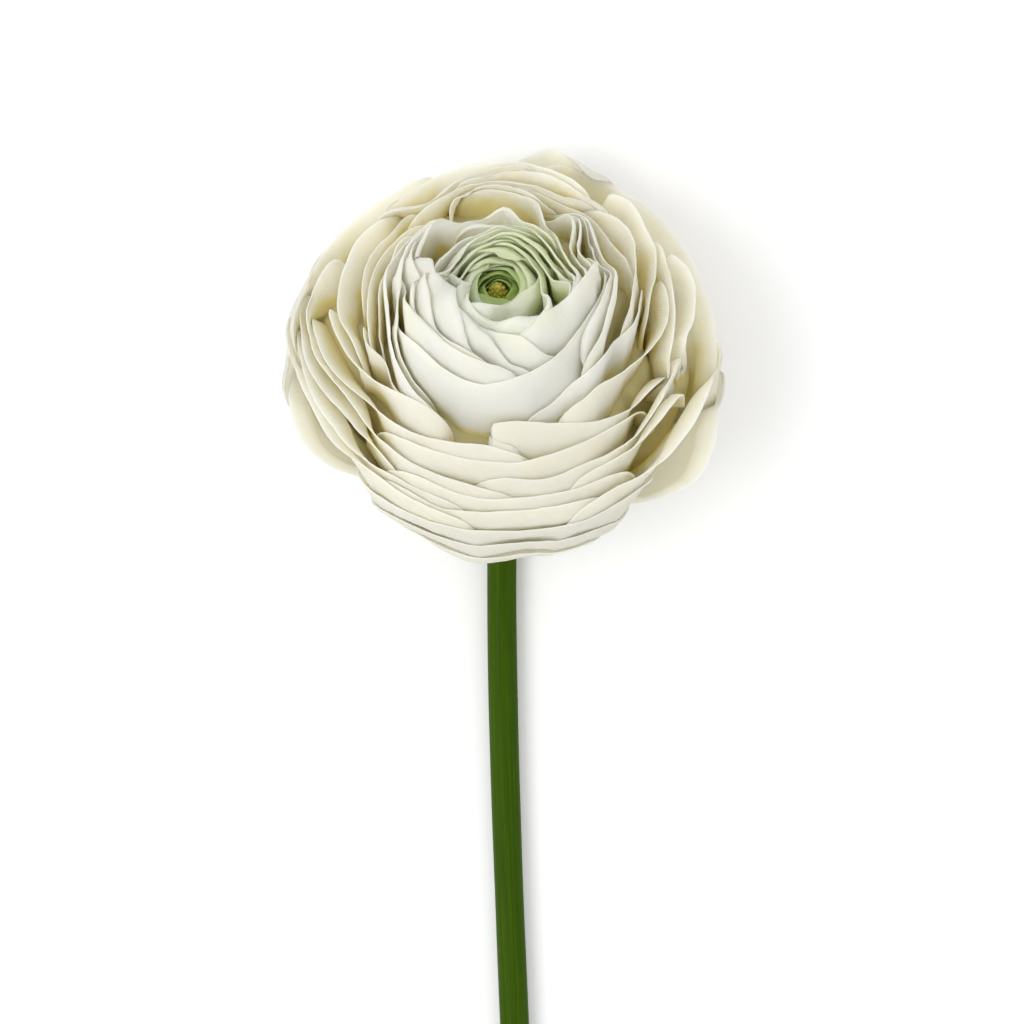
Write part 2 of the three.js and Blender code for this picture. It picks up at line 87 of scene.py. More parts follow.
# The petals whose rims show, from the eye outwards: group, fit, the rim, from one end to the other, as
# azimuth in degrees and radius in mm, and which end of it hangs free, if one does. Not all of these
# numbers are chosen by hand: many follow a scratch program's printout of points picked on the photograph.
PETALS = [
    # The dish round the eye, folded like an iris
    ("heart", CLOSE, [(108, 6), (116, 4), (167, 4.5), (192, 5.5), (211, 7.5), (219, 9.5)]),
    ("heart", CLOSE, [(-29, 4.2), (14, 3.8), (42, 4.2), (65, 5), (82, 4.8)]),
    ("heart", CLOSE, [(-36, 6), (-6, 5.2), (26, 5), (52, 5.5), (67, 6)]),
    ("heart", CLOSE, [(-112, 10.2), (-102, 9.4), (-89, 7.8), (-66, 5.6), (-40, 4.8), (-22, 5.8)]),
    ("heart", CLOSE, [(111, 6.5), (127, 6.4), (157, 6.8), (182, 8), (195, 9.8), (202, 12.6)]),
    ("heart", CLOSE, [(52, 7), (58, 5.6), (85, 5.2), (108, 6.2), (122, 8)]),
    ("heart", CLOSE, [(-55, 12.4), (-39, 9.6), (-24, 8.2), (-7, 7.4), (34, 7.3), (53, 7)]),
    ("heart", CLOSE, [(-132, 8.5), (-121, 10.6), (-110, 12.2), (-96, 12.6), (-78, 12.6), (-65, 13.4)]),
    ("heart", CLOSE, [(73, 9.8), (87, 8.6), (101, 8.1), (121, 7.9), (139, 8.4), (156, 8.7), (180, 9.3)]),
    ("heart", CLOSE, [(-22, 12), (-12, 10.4), (2, 9), (34, 8.2), (62, 8.6), (80, 9.4)]),
    # The white button, wound round the dish
    ("inner", CLOSE, [(-12, 12.1), (3, 10.8), (16, 10.1), (44, 9.7), (74, 10), (107, 10), (122, 11)]),
    ("inner", CLOSE, [(112, 11), (121, 10.8), (142, 9.7), (163, 9.2), (186, 9.8), (196, 11.4)]),
    ("inner", CLOSE, [(84, 12.5), (105, 13.2), (116, 13.5), (127, 13.2), (141, 12.8), (166, 13)]),
    ("inner", CLOSE, [(-14, 12.2), (13, 11.6), (38, 11.6), (60, 13.1), (69, 14), (87, 14.6), (103, 15.6)]),
    ("inner", CLOSE, [
        (66, 14), (74, 15.3), (82, 17.4), (91, 18.6), (99, 18.4), (107, 17.7), (129, 17.6), (149, 16.9),
        (158, 16.6),
    ]),
    ("inner", CLOSE, [
        (-24, 12.8), (-1, 12.2), (20, 12.4), (41, 14), (51, 15.2), (62, 17.4), (72, 20.4), (80, 23.8),
        (88, 25.8), (98, 26.6),
    ]),
    ("inner", CLOSE, [
        (-4, 13.3), (8, 13.6), (21, 14.3), (30, 14.9), (37, 15.8), (44, 17.6), (53, 20.3), (60, 22),
    ]),
    ("inner", CLOSE, [(12, 14.2), (23, 14.9), (35, 16.7), (42, 18.7), (49, 20.7), (56, 22.8)]),
    ("inner", CLOSE, [
        (-73, 14.8), (-65, 13.5), (-50, 13.1), (-35, 13.1), (-17, 13.3), (0, 14.5), (13, 16.3),
    ]),
    ("inner", CLOSE, [(-118, 13.2), (-107, 14.2), (-96, 14.8), (-80, 16), (-68, 18.6)]),
    ("inner", CLOSE, [(-120, 13), (-106, 14.8), (-100, 15.6), (-94, 17), (-87, 18.9)]),
    ("inner", CLOSE, [
        (-155, 10.8), (-151, 9.8), (-143, 9.5), (-135, 10.8), (-126, 12.4), (-118, 14.2), (-109, 17.6),
        (-98, 19.2),
    ], "start"),
    ("inner", CLOSE, [
        (-190, 12.8), (-182, 12.2), (-171, 12.2), (-158, 13), (-149, 13.9), (-140, 15.5), (-132, 17),
        (-111, 17.9),
    ], "start"),
    ("inner", CLOSE, [(-201, 17.2), (-191, 16.3), (-177, 15.2), (-167, 15), (-158, 15.9), (-149, 17)]),
    ("inner", CLOSE, [(-175, 18), (-160, 17.4), (-138, 17.2), (-118, 18.2), (-97, 19)]),
    ("inner", CLOSE, [
        (-152, 20.3), (-137, 19.7), (-120, 20.6), (-103, 21.2), (-84, 20.4), (-61, 19), (-40, 17.4),
        (-8, 16.8),
    ]),
    ("inner", CLOSE, [
        (-221, 19.1), (-208, 18.4), (-190, 18.2), (-170, 18.5), (-153, 19.8), (-142, 22.2), (-132, 23.5),
    ]),
    ("inner", CLOSE, [(-30, 17.3), (-11, 17), (4, 18), (21, 18.8), (33, 20), (46, 22)]),
    ("inner", CLOSE, [
        (-38, 20), (-24, 18.4), (-11, 17.8), (4, 18.4), (18, 19.4), (33, 20.6), (48, 22.4), (68, 25),
    ]),
    ("inner", AJAR, [
        (-230, 21.8), (-222, 22.3), (-206, 21.8), (-182, 20.5), (-167, 20.3), (-156, 20.8), (-143, 22.6),
        (-128, 24),
    ]),
    # The cream petals that stand off the button: the back ones
    ("outer", CLOSE, [(80, 23.8), (87, 25.6), (97, 26.3), (107, 26.1), (113, 24.9), (119, 22.4)]),
    ("outer", CLOSE, [(147, 22.6), (154, 23.9), (165, 23.7), (175, 23.4), (184, 23.8), (194, 24.4)]),
    ("outer", AJAR, [(130, 24.8), (141, 26), (152, 25.8), (164, 25), (176, 24.4), (188, 24.4)]),
    ("outer", CLOSE, [(-171, 24.9), (-166, 25), (-151, 24.7), (-140, 25), (-130, 25.1)], "start"),
    ("outer", AJAR, [(24, 24.3), (33, 25.1), (44, 25.7), (56, 26), (70, 26.3), (80, 26.4)]),
    ("outer", LOOSE, [
        (-11, 21.5), (10, 22.7), (18, 23.8), (28, 25.8), (35, 27.6), (42, 28.8), (52, 27.4),
    ]),
    ("outer", LOOSE, [(64, 26.2), (72, 26.6), (86, 27.2), (97, 27.6), (107, 27.4), (122, 26.4)]),
    ("outer", AJAR, [(130, 27.4), (138, 28.1), (147, 28.2), (155, 27.4), (163, 26.2)]),
    ("outer", LOOSE, [(136, 29.8), (148, 30.4), (160, 30), (171, 29.2), (182, 28), (192, 26.6)]),
    ("outer", LOOSE, [(58, 28), (65, 29.6), (71, 30.6), (79, 31.3), (88, 31), (94, 29.6), (99, 28)]),
    ("outer", CLOSE, [(86, 31), (97, 30.4), (106, 29.4), (116, 28.3), (128, 28)]),
    ("outer", LOOSE, [(66, 31), (73, 32.4), (84, 33.8), (97, 34), (106, 33.4), (116, 31.8), (127, 31.2)]),
    # The right and front right ones
    ("inner", CLOSE, [(-71, 23.6), (-57, 22.3), (-42, 21.8), (-22, 22.2), (-9, 23.2), (3, 24)]),
    ("outer", LOOSE, [(6, 25.4), (20, 28), (28, 29.8), (38, 31.5), (45, 33.2), (50, 34), (54, 33)], "end"),
    ("outer", LOOSE, [
        (-57, 24), (-49, 23.6), (-41, 23.9), (-30, 24.7), (-21, 25.7), (-10, 27), (2, 28.4), (12, 28.6),
    ]),
    # The left and front ones, and the rolled petals between them
    ("outer", LOOSE, [
        (-184, 30.3), (-168, 28.3), (-158, 27.2), (-148, 26.1), (-139, 25.2), (-131, 24.6), (-123, 24.5),
    ], "start"),
    ("outer", LOOSE, [
        (-88, 26.6), (-93, 26), (-95.5, 25.2), (-94.5, 24.6), (-90, 24.3), (-71, 25), (-55, 26.6),
        (-38, 28.3), (-27, 29),
    ], "start"),
    ("outer", LOOSE, [
        (-180, 33), (-171, 32), (-153, 29.5), (-142, 28.5), (-130, 28), (-108, 27), (-97, 26.6),
        (-90, 26.9), (-85, 27.5),
    ], "end"),
    ("outer", LOOSE, [
        (-128, 29.2), (-104, 28.3), (-85, 28.2), (-72, 28.1), (-62, 28), (-50, 28.4), (-43, 28.8),
    ]),
    ("outer", LOOSE, [(-12, 29.2), (-3, 29.4), (10, 29.8), (20, 30.2), (28, 30.7)]),
    ("outer", LOOSE, [
        (-92, 30.3), (-76, 30.8), (-64, 30.6), (-54, 30.9), (-44, 31.1), (-34, 30.9), (-25, 30.6),
        (-14, 30.8),
    ], "end"),
    ("outer", LOOSE, [(-6, 31.4), (0, 32.2), (7, 33.3), (14, 34.3), (22, 34.3), (25.5, 32.8)], "both"),
    ("outer", LOOSE, [(-63, 31.6), (-50, 31.9), (-38, 32.2), (-27, 32.5)]),
    ("outer", LOOSE, [
        (-202, 33.4), (-190, 34.2), (-180, 33.5), (-169, 32.6), (-158, 30.9), (-149, 30.3), (-134, 30.8),
        (-92, 31.8),
    ]),
    ("outer", LOOSE, [
        (-192, 36), (-180, 35), (-171, 34.7), (-161, 33.5), (-151, 32.5), (-141, 32.2), (-131, 32),
    ]),
    ("outer", LOOSE, [(-120, 32.2), (-100, 32.4), (-85, 32.5), (-70, 32.8), (-57, 33.4)]),
    ("outer", LOOSE, [
        (-180, 35.6), (-168, 35.3), (-160, 35), (-148, 34.5), (-134, 34.1), (-120, 33.5), (-108, 33.4),
    ]),
    ("outer", LOOSE, [(-122, 34.3), (-106, 34.8), (-87, 34.2), (-66, 34.8)]),
    ("outer", LOOSE, [(118, 32.4), (130, 33.6), (142, 36.2), (153, 37.2), (165, 35.4), (177, 35.4)]),
    ("outer", LOOSE, [(-184, 35.9), (-171, 36), (-161, 35.6), (-145, 35.4), (-128, 34.6), (-106, 35)]),
    ("outer", LOOSE, [(0, 37), (23, 37.6), (35, 38.4), (50, 39.3), (60, 40.2), (69, 39.5), (76, 37)]),
    ("outer", LOOSE, [(-64, 34.8), (-49, 35.2), (-35, 35.8), (-14, 36.3), (0, 37.2)]),
]
# Petals under the bowl and flaring from it: fit, and the whole rim down to the foot on both sides, with
# the height of each point in mm as well. Some of these numbers follow such a printout too.
LOW_PETALS = [
    (CLOSE, [
        (-152, 30, -13), (-138, 32.4, -7), (-122, 33.8, -3.6), (-106, 34.5, -3.8), (-88, 35, -4.6),
        (-70, 35.5, -4.2), (-54, 35.8, -3.2), (-43, 34.5, -6), (-34, 32, -11),
    ]),
    (CLOSE, [
        (-148, 28, -17), (-134, 31, -11.5), (-116, 33, -8.6), (-98, 34, -8.6), (-80, 34.2, -9),
        (-62, 33.8, -9.4), (-48, 31.6, -12.6), (-40, 29, -16),
    ]),
    (CLOSE, [
        (-140, 26.5, -18.5), (-124, 30, -14.4), (-104, 32, -12.5), (-86, 32.5, -12.7), (-68, 31.8, -13.6),
        (-50, 28, -17.5),
    ]),
    (LOOSE, [
        (-37, 25, -19.5), (-37.5, 30, -17), (-36, 34, -14.8), (-30.5, 38.2, -11), (-23, 39.3, -8),
        (-10, 37.4, -4), (-4, 36.4, -2), (2, 32, -5),
    ]),
    (LOOSE, [
        (-188, 31, -5), (-181, 36.3, -4.5), (-169, 38, -6), (-161, 37.4, -8), (-154, 34.5, -11),
        (-149, 30.5, -13.5), (-147, 26, -16.5),
    ]),
    (LOOSE, [
        (58, 31, 2), (66, 36, 8.5), (74, 39.8, 11.4), (77.5, 41.2, 11.6), (83, 39.2, 11.3),
        (91, 36.4, 10.2), (100, 34, 6), (104, 30, 0),
    ]),
    (AJAR, [(94, 30, 0), (100, 35, 7), (118, 36, 9.4), (137, 36.4, 8), (152, 36, 3), (158, 30, -5)]),
    (AJAR, [(132, 30, -4), (138, 35, 4), (157, 35.5, 4), (174, 35, 0), (186, 34.4, -5), (192, 29, -14)]),
]

# The small petals that close round the pistil: how many, radius and height of the rim for the innermost
# and the outermost, half the angle that each takes up, and the azimuth of the first
EYE_PETALS = 7
EYE_RADII = (1.9, 3.5)
EYE_TOPS = (16.2, 18.3)
EYE_HALF_ANGLE = 62
EYE_START = 63

# Where a group's petals have their feet: the layers of its innermost and its outermost petal, the radii
# and the heights of the feet of these two, and how far the bowl sags below the foot
FEET = {
    "heart": ((0.10, 0.26), (3.2, 6.2), (4.4, 4.4), 0),
    "inner": ((0.29, 0.70), (7, 12), (-5.6, -9), 0),
    "outer": ((0.76, 1.00), (8, 8), (-13.6, -17), 3),
    "guard": ((0.76, 1.00), (5, 5), (-20.6, -20.6), 4),
}
# The height of the widest place of the eye's petals, which is 0 further out, and of the guard petals,
# and by how much at least it is below the rim
EYE_HIP, GUARD_HIP = 8, -5
HIP_BELOW_RIM = 3
# How far a petal bulges past its rim, in front by group, and at the sides and the back
BULGE = {"heart": 3.2, "inner": 4.6, "outer": 3.2, "guard": 3.2}
SIDE_BULGE = 0.4
# How far a petal swells between its rim and its widest place
SWELL = {"heart": 0.3, "inner": 0.5, "outer": 0.35, "guard": 0.1}
# How round a petal's outline is between its foot, its widest place and its rim, as shares of the way
FULLNESS = 0.72
RIM_FULLNESS = 0.6
# The angle that a petal takes up at its foot, as a share of that at its rim
CLAW = 0.42
# A petal's thickness, and by what it is multiplied at the foot and at the rim
THICKNESS = 0.26
THINNING = (1.2, 0.85)
# Waves of the rim in and out, and up and down, pleats along a petal, and folds that run slantwise:
# how large, and how close in radians per mm
RIM_WAVES = (0.12, (0.3, 0.7, 1.6))
HEIGHT_WAVES = (0.16, (0.35, 0.9, 2.1))
PLEATS = (0.14, (0.45, 0.9, 1.7))
FOLDS = (0.12, (0.5, 1.1, 1.9))

# Over how wide a stretch of the materials' patterns the petals are scattered
PLACE_SPREAD = 97

# The distance between the middle of a petal and that of the one it lies on
STACK_GAP = 0.3
# How far below the outermost petals the core closes the gaps, how much deeper it is in the pit,
# and how deep a gap's painted warm shade its colour takes
CORE_DEPTH = 4.2
CORE_PIT = 8.0
CORE_SHADE = 7.0

scatter = np.random.default_rng(11)


def lerp(a, b, t):
    return a + (b - a) * t


def smoothstep(x, low, high):
    t = np.clip((x - low) / (high - low), 0, 1)
    return t * t * (3 - 2 * t)


def cubic(t, a, b, c, d):
    s = 1 - t
    return s**3 * a + 3 * s * s * t * b + 3 * s * t * t * c + t**3 * d


def running(steps):
    """0, and then the sum of the steps so far."""
    return np.concatenate([[0], np.cumsum(steps)])


def waves(x, phases, pitches):
    """A smooth irregular wave from -1 to 1 along x."""
    order = range(1, len(pitches) + 1)
    total = sum(np.sin(pitch * x + phase) / k for k, pitch, phase in zip(order, pitches, phases))
    return total / sum(1 / k for k in order)


def by_radius(radius, column):
    """A column of RIMS at a rim radius."""
    return np.interp(radius, RIMS[:, 1], RIMS[:, column])


def rim_height(radius, azimuth):
    return by_radius(radius, 2) + by_radius(radius, 3) * np.sin(azimuth)


# Rim points that are closer than this count as so far apart
SHORTEST_CHORD = 0.5


def smooth_curve(points, places):
    """A curve through points, at places from 0 to 1 along its chords, to which height adds less."""
    across = points[1:, 1] * np.diff(points[:, 0])
    chords = np.sqrt(across**2 + np.diff(points[:, 1]) ** 2 + 0.5 * np.diff(points[:, 2]) ** 2)
    chords = np.maximum(chords, SHORTEST_CHORD)
    knots = running(chords) / chords.sum()
    slopes = np.gradient(points, knots, axis=0)
    k = np.clip(np.searchsorted(knots, places, side="right") - 1, 0, len(knots) - 2)
    span = (knots[k + 1] - knots[k])[:, None]
    t = (places[:, None] - knots[k][:, None]) / span
    return (
        (2 * t**3 - 3 * t**2 + 1) * points[k]
        + (t**3 - 2 * t**2 + t) * span * slopes[k]
        + (3 * t**2 - 2 * t**3) * points[k + 1]
        + (t**3 - t**2) * span * slopes[k + 1]
    )


# How a rim goes on past its last point: the length of a step, then how many steps on and how far down
COVERED_END = (1.8, ((1, 0.5), (2, 1.7), (2.8, 4.0), (3.2, 7.5)))
FREE_END = (1.3, ((0.6, 0.4), (1.05, 1.2), (1.3, 2.6), (1.35, 4.6), (1.2, 8.0)))
# How steeply a covered end goes on outwards or inwards at most, in mm per radian, before it is eased,
# and the least angle that its slope is measured over
STEEPEST_END = 12
END_EASING = 0.6
END_TURN = 0.05


def rim_end(azimuth, radius, height, free):
    """Points past a rim's end: a covered end dips slowly under its neighbour, a free one turns down."""
    step, turns = FREE_END if free else COVERED_END
    turn = math.copysign(step / radius[0], azimuth[0] - azimuth[1])
    slope = (radius[0] - radius[1]) / max(abs(azimuth[0] - azimuth[1]), END_TURN)
    slope = 0 if free else float(np.clip(slope, -STEEPEST_END, STEEPEST_END)) * END_EASING
    return [
        (azimuth[0] + k * turn, radius[0] + slope * abs(k * turn), height[0] - drop)
        for k, drop in turns
    ]


def new_petal(group, fit, rim, free=""):
    """A petal from the points of its rim."""
    rim = np.array(rim, float)
    azimuth = rim[:, 0] * DEGREE
    radius = rim[:, 1]
    height = rim[:, 2] if rim.shape[1] > 2 else rim_height(radius, azimuth)
    before = rim_end(azimuth, radius, height, free in ("start", "both"))
    after = rim_end(azimuth[::-1], radius[::-1], height[::-1], free in ("end", "both"))
    if free == "whole":
        before, after = [], []
    return {
        "group": group,
        "fit": fit,
        "rim": np.array([*before[::-1], *zip(azimuth, radius, height), *after]),
        "phases": scatter.uniform(0, 2 * math.pi, 16),
        "place": scatter.uniform(0, PLACE_SPREAD),
    }


def eye_petal(share, middle):
    """One of the small petals round the pistil. Its rim swings outwards and droops to both sides."""
    radius = lerp(*EYE_RADII, share)
    top = lerp(*EYE_TOPS, share)
    rim = [
        (middle + EYE_HALF_ANGLE * across, radius * (1 + 0.3 * across**2), top - 1.6 * abs(across) ** 3)
        for across in (-1, -0.5, 0, 0.5, 1)
    ]
    return new_petal("heart", AJAR, rim)


def all_petals():
    turn = GOLDEN_ANGLE / DEGREE
    petals = [eye_petal(i / (EYE_PETALS - 1), EYE_START + i * turn) for i in range(EYE_PETALS)]
    petals += [new_petal(*petal) for petal in PETALS]
    petals += [new_petal("guard", fit, rim, "whole") for fit, rim in LOW_PETALS]
    return petals


def foot_of(group, layer):
    """Radius and height of a petal's foot, and how far its bowl sags below the foot."""
    layers, radii, heights, sag = FEET[group]
    return np.interp(layer, layers, radii), np.interp(layer, layers, heights), sag


# Over which share of half its width a rim comes into play at each end, and the weight it has at the end
RIM_FADE = 0.12
END_WEIGHT = 0.05
# Rims nearer to the axis than this have smaller waves, down to a share of them
CALM_RADIUS = 12
CALMEST = 0.25


def wavy_rim(petal, across):
    """A petal's rim at places from -1 to 1: azimuth, radius, height, length so far and weight."""
    azimuth, radius, height = smooth_curve(petal["rim"], (across + 1) / 2).T
    length = running(np.hypot(np.diff(radius), radius[1:] * np.diff(azimuth)))
    inside = smoothstep(1 - np.abs(across), 0.0, RIM_FADE)
    calm = np.clip(radius / CALM_RADIUS, CALMEST, 1) * inside
    phases = petal["phases"]
    radius = radius + calm * RIM_WAVES[0] * waves(length, phases[0:3], RIM_WAVES[1])
    height = height + calm * HEIGHT_WAVES[0] * waves(length, phases[3:6], HEIGHT_WAVES[1])
    return azimuth, radius, height, length, inside + END_WEIGHT


# Between which sines of the azimuth the side gives way to the front, and the widest layer of the bowl
FRONT = (0.4, 0.95)
WIDEST_LAYER = 1.03
# How much wider than their rims the closed petals under the bowl are
LOW_BULGE = 0.5


def belly_of(petal, azimuth, radius, layer):
    """How wide the bowl is under each place of a petal's rim."""
    group = petal["group"]
    side = 1 - smoothstep(-np.sin(azimuth), *FRONT)
    bulge = lerp(BULGE[group], SIDE_BULGE, side)
    belly = np.minimum(RADIUS * np.minimum(layer, WIDEST_LAYER), radius + bulge)
    belly = lerp(belly, np.minimum(belly, np.interp(radius, *SIDE_BELLY)), side)
    if group == "guard":
        belly = np.minimum(belly, radius + (LOW_BULGE if petal["fit"] == CLOSE else -GUARD_FLARE))
    return belly


def petal_surface(petal, u, v):
    """Points of a petal's middle surface in the bloom's frame, before it is laid on its neighbours."""
    group = petal["group"]
    azimuth, radius, height, length, weight = wavy_rim(petal, u[0])
    layer = by_radius(radius, 0)
    foot_radius, foot_height, sag = foot_of(group, np.average(layer, weights=weight))
    hip = GUARD_HIP if group == "guard" else EYE_HIP * (1 - smoothstep(radius, 4.5, 9.0))
    hip = np.minimum(hip, height - HIP_BELOW_RIM)
    belly = np.maximum(belly_of(petal, azimuth, radius, layer), foot_radius + 1)
    # About how long the petal is below and above its widest place, and the share of v that is below it
    below = 0.85 * np.maximum(belly - foot_radius + hip - foot_height, 4)
    above = 1.15 * np.maximum(height - hip, 4) + 0.6 * np.maximum(belly - radius, 0)
    split = below / (below + above)

    t = np.clip(v / split, 0, 1)
    low = foot_height - sag
    low_radius = cubic(t, foot_radius, lerp(foot_radius, belly, FULLNESS), belly, belly)
    low_height = cubic(t, foot_height, low, lerp(low, hip, FULLNESS), hip)
    t = np.clip((v - split) / (1 - split), 0, 1)
    rise = height - hip
    high_radius = cubic(t, belly, belly, lerp(radius, belly, RIM_FULLNESS), radius)
    bend = height - lerp(0.4, -0.05, by_radius(radius, 4)) * rise
    high_height = cubic(t, hip, hip + 0.55 * rise, bend, height)
    is_low = v < split
    r = np.where(is_low, low_radius, high_radius)
    z = np.where(is_low, low_height, high_height)
    middle = np.average(azimuth, weights=weight)
    claw = lerp(CLAW, 1, np.sin(np.clip(v / 0.7, 0, 1) * math.pi / 2))
    a = middle + (azimuth - middle) * claw
    return np.stack([r * np.cos(a), r * np.sin(a), z], -1), length


class Stack:
    """How far out the bloom reaches so far, by direction from a point low on its axis."""

    BINS = (300, 150)
    LOW = np.array([0, 0, -6.0])
    # A petal is drawn to those inside it where they reach nearly as far: shares of its own distance
    NEAR = (0.72, 0.88)
    # Rounds of smoothing for what pushes a petal out and for its whole move, and the share of the gap
    # that has to be left after them
    PUSH_ROUNDS, MOVE_ROUNDS = 14, 4
    LEAST_GAP = 0.8
    # Bins that the core takes together each way, and how far up it goes, as shares of a half turn
    CORE_BINS = 3
    CORE_ENDS = (0.04, 0.985)
    # The least reach that the core is measured from, and over which rise from level its pit deepens
    CORE_REACH = 5
    PIT_RISE = (55 * DEGREE, 72 * DEGREE)

    def __init__(self):
        self.reach = np.zeros(self.BINS)

    def directions(self, points):
        rel = points - self.LOW
        distance = np.linalg.norm(rel, axis=-1)
        turn = (np.arctan2(rel[..., 1], rel[..., 0]) / (2 * math.pi)) % 1 * self.BINS[0]
        rise = (np.arcsin(rel[..., 2] / distance) / math.pi + 0.5) * (self.BINS[1] - 1)
        return distance, turn, rise

    def sampled(self, turn, rise, widen=1):
        wide = self.reach
        for _ in range(widen):
            for axis in (0, 1):
                wide = np.maximum(wide, np.maximum(np.roll(wide, 1, axis), np.roll(wide, -1, axis)))
        i = np.floor(turn - 0.5).astype(int)
        j = np.clip(np.floor(rise - 0.5).astype(int), 0, self.BINS[1] - 2)
        a, b = (turn - 0.5) - i, np.clip(rise - 0.5 - j, 0, 1)
        i0, i1 = i % self.BINS[0], (i + 1) % self.BINS[0]
        return lerp(lerp(wide[i0, j], wide[i1, j], a), lerp(wide[i0, j + 1], wide[i1, j + 1], a), b)

    def laid_on(self, points, weight, gap, fit):
        """points, moved to lie on the petals placed before: never into them, and as close as they fit."""
        distance, turn, rise = self.directions(points)
        under = self.sampled(turn, rise)
        near = fit * weight * smoothstep(under / distance, *self.NEAR)
        wanted = lerp(distance, np.minimum(distance, under + gap), near)
        need = (under + gap - wanted) * weight
        push = np.maximum(need, 0)
        for _ in range(self.PUSH_ROUNDS):
            push = np.maximum(blurred(push), need)
        target = wanted + push
        move = target - distance
        for _ in range(self.MOVE_ROUNDS):
            move = blurred(move)
        move = np.maximum(move, (under + gap * self.LEAST_GAP - distance) * weight)
        return self.LOW + (points - self.LOW) * (1 + move / distance)[..., None]

    def add(self, points):
        distance, turn, rise = self.directions(points)
        cells = (turn.astype(int) % self.BINS[0], np.clip(rise.astype(int), 0, self.BINS[1] - 1))
        np.maximum.at(self.reach, cells, distance)

    def core(self):
        """Vertices and faces of the rounded core, which closes the gaps between petals some way down."""
        reach = self.reach
        for _ in range(3):
            reach = np.maximum(reach, np.roll(reach, 1, 0))
        columns, rows = (bins // self.CORE_BINS for bins in self.BINS)
        turn = (np.arange(columns) + 0.5) * 2 * math.pi / columns
        rise = (np.linspace(*self.CORE_ENDS, rows) - 0.5) * math.pi
        least = reach.reshape(columns, self.CORE_BINS, rows, self.CORE_BINS).min(axis=(1, 3)).T
        least = np.maximum(least, self.CORE_REACH) - CORE_DEPTH
        for _ in range(3):
            least = np.minimum(least, blurred(least))
        least = least - CORE_PIT * smoothstep(rise, *self.PIT_RISE)[:, None]
        flat, up = np.cos(rise)[:, None], np.sin(rise)[:, None]
        out = least * flat
        points = np.stack([out * np.cos(turn), out * np.sin(turn), least * up + 0 * turn], -1)
        return (points + self.LOW).reshape(-1, 3), ring_faces(rows, columns)

    def depth(self, points):
        """How far points lie below the outermost petals over them."""
        distance, turn, rise = self.directions(points)
        return np.maximum(self.sampled(turn, rise, 0) - distance, 0)


def ring_faces(rings, sides):
    """Faces of a closed shape made of rings of vertices, lowest first, with a cap at each end."""
    number = np.arange(rings * sides).reshape(rings, sides)
    following = np.roll(number, -1, axis=1)
    quads = np.stack([number[:-1], following[:-1], following[1:], number[1:]], -1)
    return [*quads.reshape(-1, 4).tolist(), number[0][::-1].tolist(), number[-1].tolist()]


def blurred(grid):
    """A grid, each value averaged with its four neighbours."""
    padded = np.pad(grid, 1, mode="edge")
    return (padded[:-2, 1:-1] + padded[2:, 1:-1] + padded[1:-1, :-2] + padded[1:-1, 2:] + 2 * grid) / 6


def refined(points, times):
    """A grid of points with times as many steps each way, by straight interpolation."""
    for axis in (0, 1):
        count = points.shape[axis]
        place = np.linspace(0, count - 1, (count - 1) * times + 1)
        low = np.minimum(place.astype(int), count - 2)
        share = (place - low).reshape([-1 if k == axis else 1 for k in range(3)])
        points = lerp(np.take(points, low, axis), np.take(points, low + 1, axis), share)
    return points


# The height from which the eye's shift is whole, and the depths over which the front narrows, which
# start just above the belly
EYE_SHIFT_HEIGHT = 14
TUCK_DEPTHS = (-2, 14)
# What would come lower than this is pressed flat on the floor, softly over the height given
PRESSED_TO = -0.1
PRESS_SOFTNESS = 2.2


def to_world(points):
    """From the bloom's frame to the floor's, with what meets the floor pressed flat on it."""
    out = np.maximum(np.hypot(points[..., 0], points[..., 1]), 0.01)
    pull = np.exp(-(out**2) / EYE_FADE**2) * smoothstep(points[..., 2], 0, EYE_SHIFT_HEIGHT)
    front = smoothstep(-points[..., 1] / out, 0.45, 0.9)
    narrow = 1 - TUCK * front * smoothstep(-points[..., 2], *TUCK_DEPTHS)
    bx = points[..., 0] * narrow + EYE_SHIFT[0] * pull
    by = points[..., 1] * narrow + EYE_SHIFT[1] * pull
    c, s = math.cos(TILT), math.sin(TILT)
    x = CENTRE[0] + bx
    y = CENTRE[1] + c * by + s * points[..., 2]
    z = CENTRE[2] - s * by + c * points[..., 2]
    pressed = PRESSED_TO + PRESS_SOFTNESS * np.exp((z - PRESSED_TO - PRESS_SOFTNESS) / PRESS_SOFTNESS)
    z = np.where(z < PRESSED_TO + PRESS_SOFTNESS, pressed, z)
    return np.stack([x, y, z], -1)


def edged(count, ends, fine):
    """Places from 0 to 1, with extra ones close to the ends asked for, to round an edge."""
    places = list(np.linspace(0, 1, count))
    for end in ends:
        places += [abs(end - step) for step in fine]
    return np.array(sorted(places))


def grid_normals(points):
    normal = np.cross(np.gradient(points, axis=1), np.gradient(points, axis=0))
    return normal / np.maximum(np.linalg.norm(normal, axis=-1, keepdims=True), 1e-9)


